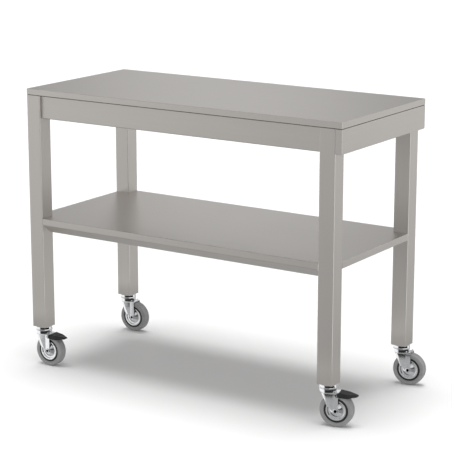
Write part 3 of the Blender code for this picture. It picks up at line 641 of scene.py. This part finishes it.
def dished_guard(name):
    """Thread guard of thin sheet: boss, cone, flat floor, and a ring that stands up by the wheel's rim."""
    face = [
        (0.0058, 0.0162), (0.0098, 0.0162), (0.0108, 0.0159), (0.0116, 0.0152),
        (0.0190, 0.0106), (0.0198, 0.0101), (0.0206, 0.0099), (0.0233, 0.0098),
        (0.0243, 0.0100), (0.0250, 0.0106), (0.0262, 0.0125), (0.0268, 0.0131),
        (0.0276, 0.01325), (0.0296, 0.01325), (0.0304, 0.0131), (0.0307, 0.0126),
    ]
    back = [(0.0300, 0.0122), *((radius, height - GUARD_WALL) for radius, height in reversed(face[:-2]))]
    return smooth(turned(name, [*face, *back], ring=True))


def wheel_centre():
    """Moulded nylon wheel: hub, web and outer rim with rounded lips."""
    half = [
        (0.0083, 0.0136), (0.0088, 0.0142), (0.0101, 0.0142), (0.0105, 0.0138),
        (0.0108, 0.0052), (0.0122, 0.0040), (0.0288, 0.0040), (0.0306, 0.0056),
        (0.0313, 0.0125), (0.0320, 0.01325), (0.0352, 0.01325), (0.0359, 0.0128), (0.0360, 0.0118),
    ]
    return smooth(turned("wheel_centre", [*half, *mirrored(half)], ring=True))


def soft_tyre():
    """Grey rubber tyre: sides with a shallow line, round shoulders, four fine grooves round the tread."""
    side = [
        (0.0363, 0.0126), (0.0367, 0.0134), (0.0376, 0.0139), (0.0392, 0.0142), (0.0396, 0.0140),
        (0.0401, 0.0140), (0.0406, 0.0143), (0.0428, 0.0145), (0.0452, 0.0144),
        *arc((0.0449, 0.0096), 0.0048, 80, 8, 8),
    ]
    tread = []
    for groove in (0.0066, 0.0022):
        tread += [(0.0499, groove + 0.0007), (0.0494, groove + 0.0004),
                  (0.0494, groove - 0.0004), (0.0499, groove - 0.0007)]
    half = side + tread
    return smooth(turned("soft_tyre", [*half, (0.0500, 0.0), *mirrored(half)], ring=True, steps=TYRE_STEPS))


def pedal_cover():
    """Moulded foot pedal: hollow cover with a ridge across it, hung by two arms on the fork's studs."""
    x, half, top, foot = PEDAL_STATIONS[0]
    bpy.ops.object.select_all(action='DESELECT')
    bpy.ops.mesh.primitive_cube_add(size=1.0, location=(x + 0.5, 0.0, (top + foot) / 2),
                                    scale=(1.0, 2 * half, top - foot))
    cover = start("pedal_cover")
    drop_faces(cover, lambda face: abs(face.normal.x) > 0.5 or face.normal.z < -0.5)
    pick(cover, 'VERT', lambda point: point.co.x > x + 0.5)
    bpy.ops.transform.translate(value=(PEDAL_STATIONS[1][0] - x - 1.0, 0.0, 0.0))
    close()
    shape_row(cover, *PEDAL_STATIONS[1])
    end = PEDAL_STATIONS[1][0]
    for station in PEDAL_STATIONS[2:]:
        pick(cover, 'EDGE', lambda edge: all(point.co.x > end - MERGE_DISTANCE for point in edge.verts))
        extrude((station[0] - end, 0.0, 0.0))
        close()
        shape_row(cover, *station)
        end = station[0]
    pick(cover, 'EDGE', lambda edge: all(point.co.x > end - MERGE_DISTANCE for point in edge.verts))
    bpy.ops.mesh.edge_face_add()
    close()
    drop_faces(cover, lambda face: face.normal.z > 0.5 and middle(face).x < PEDAL_ROOF_START_X)
    mend(cover)
    if highest_face(cover).normal.z < 0:
        turn_over(cover)
    round_folds(cover, PEDAL_EDGE_RADIUS, lambda edge: not edge.is_boundary
                and edge.calc_face_angle(0.0) > PEDAL_FOLD_ANGLE and span(edge).x > NEARLY, steps=4)
    thicken(cover, PEDAL_WALL)
    round_folds(cover, PEDAL_ARM_RADIUS, lambda edge: middle(edge).x < x + NEARLY
                and span(edge).y > PEDAL_WALL / 2)
    for side in (-1, 1):
        place = (PIVOT[0], side * PEDAL_ARM_Y, PIVOT[2])
        cut(cover, drill("stud_hole", place, STUD_RADIUS + FIT_GAP, PEDAL_HOLE_DEPTH, STUD_STEPS))
    ease(cover, MOULDED_EDGE, angle=SHARP_ANGLE)
    return smooth(cover)


def shape_row(piece, x, half, top, foot):
    """Sets the width, the roof and the foot of the cover where it crosses one station."""
    for point in piece.data.vertices:
        if abs(point.co.x - x) < MERGE_DISTANCE:
            high = point.co.z > PIVOT[2] + PEDAL_ROOF_RISE
            half_here = half - (PEDAL_DRAFT if high and x > PEDAL_DRAFT_START_X else 0.0)
            point.co.y = half_here if point.co.y > 0 else -half_here
            point.co.z = top if high else foot


# Putting castor pieces in place

def castor_places():
    """Where each castor's swivel axis stands, and how far the castor is turned."""
    places = {}
    joints = {joint["name"]: joint for joint in frame["joints"]}
    for corner in CORNERS:
        axis = joints[f"wheel_spin_{corner}"]["axis"]
        x, y, _ = joints[f"swivel_{corner}"]["pos_m"]
        places[corner] = Matrix.Translation((x, y, 0.0)) @ Matrix.Rotation(atan2(-axis[0], axis[1]), 4, 'Z')
    return places


PLACES = castor_places()
ON_AXLE = Matrix.Translation(AXLE) @ Matrix.Rotation(pi / 2, 4, 'X')
ON_AXLE_BACK = Matrix.Translation(AXLE) @ Matrix.Rotation(-pi / 2, 4, 'X')
UPRIGHT = Matrix.Identity(4)


def fit(pattern, stem, corners, body, look, seat=UPRIGHT):
    """Puts a copy of a castor piece, with its own mesh, at each corner, and clears the pattern away."""
    # The finishes read where each point was made, so a castor's grain stays on it when it turns.
    made_at = pattern.data.attributes.new("made_at", 'FLOAT_VECTOR', 'POINT')
    pattern.data.transform(seat)
    places = [0.0] * (3 * len(pattern.data.vertices))
    pattern.data.vertices.foreach_get("co", places)
    made_at.data.foreach_set("vector", places)
    for corner in corners:
        piece = copy_of(pattern, corner)
        piece.data.transform(PLACES[corner])
        finish(piece, body.format(corner), look, stem.format(corner))
    bpy.data.objects.remove(pattern)


def copy_of(pattern, corner):
    """A copy with its own mesh, named after its corner."""
    piece = pattern.copy()
    piece.data = pattern.data.copy()
    piece.name = f"{pattern.name}_{corner}"
    bpy.context.scene.collection.objects.link(piece)
    return piece


def finish(piece, body, look, node):
    """Gives a piece its finish, its body and the CAD solid that it stands for."""
    piece.data.materials.clear()
    piece.data.materials.append(look)
    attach(piece, body)
    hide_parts(node)


# Finishes

class Shade:
    """One output of a node. Sums on it add Math nodes, and node() adds any other kind."""

    def __init__(self, tree, socket=None):
        self.tree = tree
        self.socket = socket

    def node(self, kind, settings=None, sockets=None, output=0):
        """Adds a node with its settings, fills its sockets with values or links, and gives one output."""
        new = self.tree.nodes.new(kind)
        for name, value in (settings or {}).items():
            setattr(new, name, value)
        for name, value in (sockets or {}).items():
            if isinstance(value, Shade):
                self.tree.links.new(value.socket, new.inputs[name])
            else:
                new.inputs[name].default_value = value
        return Shade(self.tree, new.outputs[output])

    def maths(self, operation, first, second=0.0):
        """Adds one Math node."""
        return self.node('ShaderNodeMath', {"operation": operation}, {0: first, 1: second})

    def __add__(self, other):
        return self.maths('ADD', self, other)

    def __sub__(self, other):
        return self.maths('SUBTRACT', self, other)

    def __rsub__(self, other):
        return self.maths('SUBTRACT', other, self)

    def __mul__(self, other):
        return self.maths('MULTIPLY', self, other)

    __radd__ = __add__
    __rmul__ = __mul__

    def scaled(self, scale):
        """Stretches a place along each axis."""
        return self.node('ShaderNodeMapping', None, {"Vector": self, "Scale": scale})

    def noise(self, scale, detail=2.0, roughness=0.5):
        """Noise at this place, from about 0.3 to 0.7."""
        return self.node('ShaderNodeTexNoise', None,
                         {"Vector": self, "Scale": scale, "Detail": detail, "Roughness": roughness})

    def blend(self, first, second):
        """Mixes two colours, by this value from 0 to 1."""
        return self.node('ShaderNodeMix', {"data_type": 'RGBA'}, {0: self, 6: first, 7: second}, 2)

    def spread(self, low=0.3, high=0.7):
        """Takes a range of this value to 0 to 1 and holds it there."""
        return self.node('ShaderNodeMapRange', None, {"Value": self, "From Min": low, "From Max": high})

    def soft_step(self, low, high, change):
        """Rises softly from 0 to the change between two values."""
        return self.node('ShaderNodeMapRange', {"interpolation_type": 'SMOOTHSTEP'},
                         {"Value": self, "From Min": low, "From Max": high, "To Max": change})

    def vector(self, operation, other=None, output=0):
        """Adds one Vector Math node."""
        sockets = {0: self} if other is None else {0: self, 1: other}
        return self.node('ShaderNodeVectorMath', {"operation": operation}, sockets, output)

    def dot(self, direction):
        """How far this place lies along a direction."""
        return self.vector('DOT_PRODUCT', direction, 1)

    def bump(self, strength, distance):
        """A normal raised by this height."""
        return self.node('ShaderNodeBump', None, {"Height": self, "Strength": strength, "Distance": distance})


def finish_of(name, **constants):
    """A new material, the start of its sums, and the function that links them to its shader."""
    look = bpy.data.materials.new(name)
    look.use_nodes = True
    tree = look.node_tree
    shader = tree.nodes["Principled BSDF"]
    for socket, value in constants.items():
        shader.inputs[socket.replace("_", " ")].default_value = value

    def connect(**links):
        for socket, value in links.items():
            tree.links.new(value.socket, shader.inputs[socket.replace("_", " ")])

    return look, Shade(tree), connect


def rgb(*levels):
    """A colour from its red, green and blue levels."""
    return (*levels, 1.0)


def satin_steel(name, grain):
    """Satin stainless sheet: fine brushing along one way, faint cloudiness from handling."""
    look, shade, connect = finish_of(name, Metallic=1.0)
    place = shade.node('ShaderNodeTexCoord', output=3)
    brushing = place.scaled([3.0 if axis == grain else 900.0 for axis in "xyz"]).noise(1.0, 3.0, 0.6)
    coarse = place.scaled([2.0 if axis == grain else 160.0 for axis in "xyz"]).noise(1.0, 2.0)
    clouds = place.noise(5.0, 3.0)
    tone = brushing.spread() * 0.45 + coarse.spread() * 0.20 + clouds.spread() * 0.35
    connect(
        Base_Color=tone.blend(rgb(0.575, 0.549, 0.520), rgb(0.625, 0.597, 0.568)),
        Roughness=0.33 + brushing * 0.06 + clouds * 0.05,
        Normal=(brushing * 0.7 + coarse * 0.3).bump(0.035, 0.0004),
    )
    return look


def zinc_plate(name, painted_hole_shade=False):
    """Bright zinc over pressed steel: slight waves and cloudy spots in the plating.

    The bearing's rings, above the fork's crown, are smoother than the pressed strip.
    The axle's bore is painted near black, as painted shade in the hole.
    """
    look, shade, connect = finish_of(name, Metallic=1.0)
    place = shade.node('ShaderNodeAttribute', {"attribute_name": "made_at"}, output=1)
    clouds = place.noise(90.0, 3.0)
    pits = place.noise(1400.0, 2.0)
    tone = clouds.spread().blend(rgb(0.70, 0.71, 0.72), rgb(0.77, 0.78, 0.79))
    # Painted shade: the inside of the axle's bore is coloured near black, standing in for the shade in the
    # hole.
    if painted_hole_shade:
        across = place.vector('SUBTRACT', AXLE).vector('MULTIPLY', (1.0, 0.0, 1.0))
        off_axle = across.vector('LENGTH', output=1)
        tone = off_axle.spread(*PAINTED_HOLE_SHADE_EDGE).blend(rgb(0.050, 0.048, 0.045), tone)
    rings = place.dot((0.0, 0.0, 1.0)).spread(*RINGS_FOOT)
    connect(
        Base_Color=tone,
        Roughness=(0.10 + clouds * 0.09 + pits * 0.03) * (1.0 - rings * 0.65),
        Normal=(clouds * 0.6 + pits * 0.15).bump(0.05, 0.0005),
    )
    return look


def tyre_rubber():
    """Grey non-marking rubber, matt, with a fine grain and a little floor dust."""
    look, shade, connect = finish_of("grey_tyre_rubber")
    place = shade.node('ShaderNodeAttribute', {"attribute_name": "made_at"}, output=1)
    grain = place.noise(700.0, 3.0)
    dust = place.noise(70.0, 2.0)
    tone = (grain * 0.4 + dust * 0.6).spread()
    connect(
        Base_Color=tone.blend(rgb(0.265, 0.266, 0.268), rgb(0.325, 0.325, 0.324)),
        Roughness=0.66 + grain * 0.14,
        Normal=grain.bump(0.25, 0.0003),
    )
    return look


def moulded(name, dark, light, roughness):
    """A moulded plastic, with a fine spark-eroded grain."""
    look, shade, connect = finish_of(name, Specular_IOR_Level=0.4)
    place = shade.node('ShaderNodeTexCoord', output=3)
    grain = place.noise(900.0, 3.0)
    handling = place.noise(60.0, 2.0)
    connect(
        Base_Color=handling.spread().blend(dark, light),
        Roughness=roughness - 0.05 + grain * 0.10 + handling * 0.05,
        Normal=grain.bump(0.20, 0.0002),
    )
    return look


def board_with_painted_seam_shade():
    """Particle board with its flakes, coloured dark grey as painted shade for the seam under the top."""
    look, shade, connect = finish_of("board_with_painted_seam_shade")
    place = shade.node('ShaderNodeTexCoord', output=3)
    flakes = place.scaled((160.0, 260.0, 500.0)).noise(1.0, 4.0, 0.7)
    connect(
        # Painted shade: the board is coloured dark grey for the shade in the seam under the top; the flakes
        # are its own grain.
        Base_Color=flakes.spread(0.35, 0.65).blend(rgb(0.060, 0.055, 0.050), rgb(0.105, 0.098, 0.090)),
        Roughness=0.78 + flakes * 0.15,
        Normal=flakes.bump(0.4, 0.0006),
    )
    return look


# Assembly

STEEL_X = satin_steel("satin_steel_lengthwise", "x")
STEEL_Y = satin_steel("satin_steel_crosswise", "y")
STEEL_Z = satin_steel("satin_steel_upright", "z")
ZINC = zinc_plate("bright_zinc")
# Zinc whose axle bore carries painted shade
ZINC_WITH_PAINTED_HOLE_SHADE = zinc_plate("bright_zinc_painted_hole_shade", painted_hole_shade=True)
RUBBER = tyre_rubber()
NYLON = moulded("black_nylon_wheel", rgb(0.016, 0.016, 0.017), rgb(0.026, 0.026, 0.027), 0.50)
PEDAL_PLASTIC = moulded("black_pedal_plastic", rgb(0.011, 0.011, 0.012), rgb(0.019, 0.019, 0.020), 0.48)
# The board's dark colour is painted shade for the seam under the top
BOARD_WITH_PAINTED_SHADE = board_with_painted_seam_shade()

finish(table_top(), "frame", STEEL_X, "top_sheet")
finish(folded_rail("front", LENGTHWISE, CROSSWISE), "frame", STEEL_X, "front_rail")
finish(folded_rail("rear", LENGTHWISE, -CROSSWISE), "frame", STEEL_X, "rear_rail")
finish(folded_rail("left", CROSSWISE, LENGTHWISE), "frame", STEEL_Y, "left_rail")
finish(folded_rail("right", CROSSWISE, -LENGTHWISE), "frame", STEEL_Y, "right_rail")
finish(end_panel(), "frame", STEEL_Y, "end_panel")
finish(shelf_tray(), "frame", STEEL_X, "shelf")
finish(shelf_rib(), "frame", STEEL_X, "shelf_stiffener")
for corner in CORNERS:
    finish(leg_tube(corner), "frame", STEEL_Z, f"leg_{corner}")

fit(bearing_cap(), "castor_head_{}", CORNERS, "frame", ZINC)
fit(pressed_fork("braked_fork", True), "fork_{}", BRAKED, "castor_{}", ZINC)
fit(pressed_fork("plain_fork", False), "fork_{}", REAR, "castor_{}", ZINC)
fit(axle_rivet(), "axle_{}", CORNERS, "castor_{}", ZINC_WITH_PAINTED_HOLE_SHADE, ON_AXLE)
fit(dished_guard("dished_guard_front"), "front_guard_{}", CORNERS, "castor_{}", ZINC, ON_AXLE)
fit(dished_guard("dished_guard_back"), "back_guard_{}", CORNERS, "castor_{}", ZINC, ON_AXLE_BACK)
fit(wheel_centre(), "wheel_rim_{}", CORNERS, "wheel_{}", NYLON, ON_AXLE)
fit(soft_tyre(), "tyre_{}", CORNERS, "wheel_{}", RUBBER, ON_AXLE)
fit(pedal_cover(), "brake_pedal_{}", BRAKED, "pedal_{}", PEDAL_PLASTIC)

# CAD solids that keep their own shape
KEPT = {"top_board": BOARD_WITH_PAINTED_SHADE}
for corner in CORNERS:
    KEPT[f"leg_socket_{corner}"] = STEEL_Z
    KEPT[f"ball_ring_{corner}"] = STEEL_Z
    KEPT[f"axle_sleeve_{corner}"] = STEEL_Z
for corner in BRAKED:
    KEPT[f"brake_shoe_{corner}"] = PEDAL_PLASTIC
for name, look in KEPT.items():
    frame["nodes"][name].data.materials[0] = look


# Studio

def add_camera():
    """The photograph's viewing angle, from a point set off from the top's front left corner."""
    low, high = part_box("top_sheet")
    corner = Vector((low.x, low.y, high.z))
    camera = bpy.data.objects.new("camera", bpy.data.cameras.new("camera"))
    camera.data.sensor_width = CAMERA_SENSOR
    camera.data.lens = CAMERA_LENS
    camera.data.clip_end = CAMERA_REACH
    camera.location = corner + Vector(CAMERA_FROM_CORNER)
    camera.rotation_euler = (radians(90.0 - CAMERA_TILT), 0.0, radians(CAMERA_TURN))
    bpy.context.scene.collection.objects.link(camera)
    bpy.context.scene.camera = camera


def add_floor():
    """A plain pale floor that reaches far behind the trolley."""
    bpy.ops.object.select_all(action='DESELECT')
    bpy.ops.mesh.primitive_plane_add(size=FLOOR_SIZE)
    floor = start("floor")
    tone = rgb(FLOOR_TONE, FLOOR_TONE, FLOOR_TONE)
    look, *_ = finish_of("pale_floor", Base_Color=tone, Roughness=1.0, Specular_IOR_Level=0.0)
    floor.data.materials.append(look)
    # The metal shows the studio's screens instead of the bare floor.
    floor.visible_glossy = False


def heading(azimuth, elevation):
    """A direction, in degrees to the right of the front and up from level."""
    side = radians(azimuth)
    up = radians(elevation)
    return (sin(side) * cos(up), -cos(side) * cos(up), sin(up))


def patch(place, towards, inner, outer, change):
    """A round patch of changed level about a direction, soft between two angles from its middle."""
    return place.dot(towards).soft_step(cos(radians(outer)), cos(radians(inner)), change)


def grey(level):
    """A grey of this level."""
    return level.node('ShaderNodeCombineColor', None, {0: level, 1: level, 2: level})


def add_room():
    """A pale room whose level changes softly from side to side, and one wide lamp overhead."""
    world = bpy.data.worlds.new("studio")
    world.use_nodes = True
    bpy.context.scene.world = world
    shade = Shade(world.node_tree)
    place = shade.node('ShaderNodeTexCoord')
    level = ROOM_LEVEL
    for azimuth, elevation, inner, outer, change in ROOM_PATCHES:
        level = level + patch(place, heading(azimuth, elevation), inner, outer, change)
    aside = place.dot(heading(BAR_AZIMUTH + 90.0, 0.0))
    off_bar = aside.maths('ABSOLUTE', aside)
    off_bar = off_bar.soft_step(sin(radians(BAR_HALF_WIDTH)), sin(radians(BAR_EDGE)), 1.0)
    behind = place.dot(heading(BAR_AZIMUTH, BAR_MIDDLE)).soft_step(*BAR_FADE, BAR_CHANGE)
    level = level + behind * (1.0 - off_bar)
    world.node_tree.links.new(grey(level).socket, world.node_tree.nodes["Background"].inputs["Color"])
    lamp = bpy.data.objects.new("overhead_lamp", bpy.data.lights.new("overhead_lamp", 'SUN'))
    lamp.data.energy = LAMP_STRENGTH
    lamp.data.angle = radians(LAMP_SPREAD)
    lamp.rotation_euler = (radians(LAMP_TILT), 0.0, 0.0)
    # The lamp is left out of reflections, so it gives no spot of its own in the metal.
    lamp.visible_glossy = False
    bpy.context.scene.collection.objects.link(lamp)


def card_glow():
    """The cards' own light, whose level changes round the castor.

    It is seen from a card's inner side alone, and not through another card.
    """
    look = bpy.data.materials.new("low_card")
    look.use_nodes = True
    tree = look.node_tree
    tree.nodes.clear()
    shade = Shade(tree)
    place = shade.node('ShaderNodeTexCoord', output=3)
    height = place.dot((0.0, 0.0, 1.0))

    def side(azimuth, inner, outer, change):
        return patch(place, [part / CARD_RADIUS for part in heading(azimuth, 0.0)], inner, outer, change)

    level = CARD_LEVEL
    for values in CARD_PATCHES:
        level = level + side(*values)
    upper = height.soft_step(HEAD_PATCH_LOW, HEAD_PATCH_LOW + HEAD_PATCH_FADE, 1.0)
    level = level + side(*HEAD_PATCH) * upper
    level = level.maths('MAXIMUM', level, CARD_DARKEST)
    lid = height.soft_step(CARD_HIGH, LID_HEIGHT, 1.0)
    level = level * (1.0 - lid) + lid * LID_LEVEL
    glow = shade.node('ShaderNodeEmission', None, {"Color": grey(level)})
    back = shade.node('ShaderNodeNewGeometry', output="Backfacing")
    passed = shade.node('ShaderNodeLightPath', output="Transparent Depth")
    clear = shade.node('ShaderNodeBsdfTransparent')
    unseen = back.maths('MAXIMUM', back, passed)
    surface = shade.node('ShaderNodeMixShader', None, {0: unseen, 1: glow, 2: clear})
    tree.links.new(surface.socket, tree.nodes.new('ShaderNodeOutputMaterial').inputs["Surface"])
    look.cycles.emission_sampling = 'NONE'
    return look


def add_cards():
    """A low card bent round each castor, dark on the camera's side and at the back, pale at the left.

    It shows only in reflections. A grey lid over it, seen from above alone, keeps it out of the legs.
    """
    centre = (0.0, 0.0, (CARD_HIGH + CARD_LOW) / 2)
    bpy.ops.object.select_all(action='DESELECT')
    bpy.ops.mesh.primitive_cylinder_add(vertices=CARD_STEPS, radius=CARD_RADIUS, depth=CARD_HIGH - CARD_LOW,
                                        end_fill_type='NOTHING', location=centre)
    wall = start("card_wall")
    turn_over(wall)
    bpy.ops.object.select_all(action='DESELECT')
    bpy.ops.mesh.primitive_circle_add(vertices=CARD_STEPS, radius=LID_RADIUS, fill_type='NGON',
                                      location=(0.0, 0.0, LID_HEIGHT))
    pattern = join("low_card", wall, start("card_lid"))
    pattern.data.materials.append(card_glow())
    for corner in CORNERS:
        card = copy_of(pattern, corner)
        card.location = PLACES[corner].to_translation()
        card.visible_camera = False
        card.visible_diffuse = False
        card.visible_shadow = False
        card.visible_transmission = False
    bpy.data.objects.remove(pattern)


add_camera()
add_floor()
add_room()
add_cards()
bpy.context.scene.view_settings.view_transform = 'Standard'
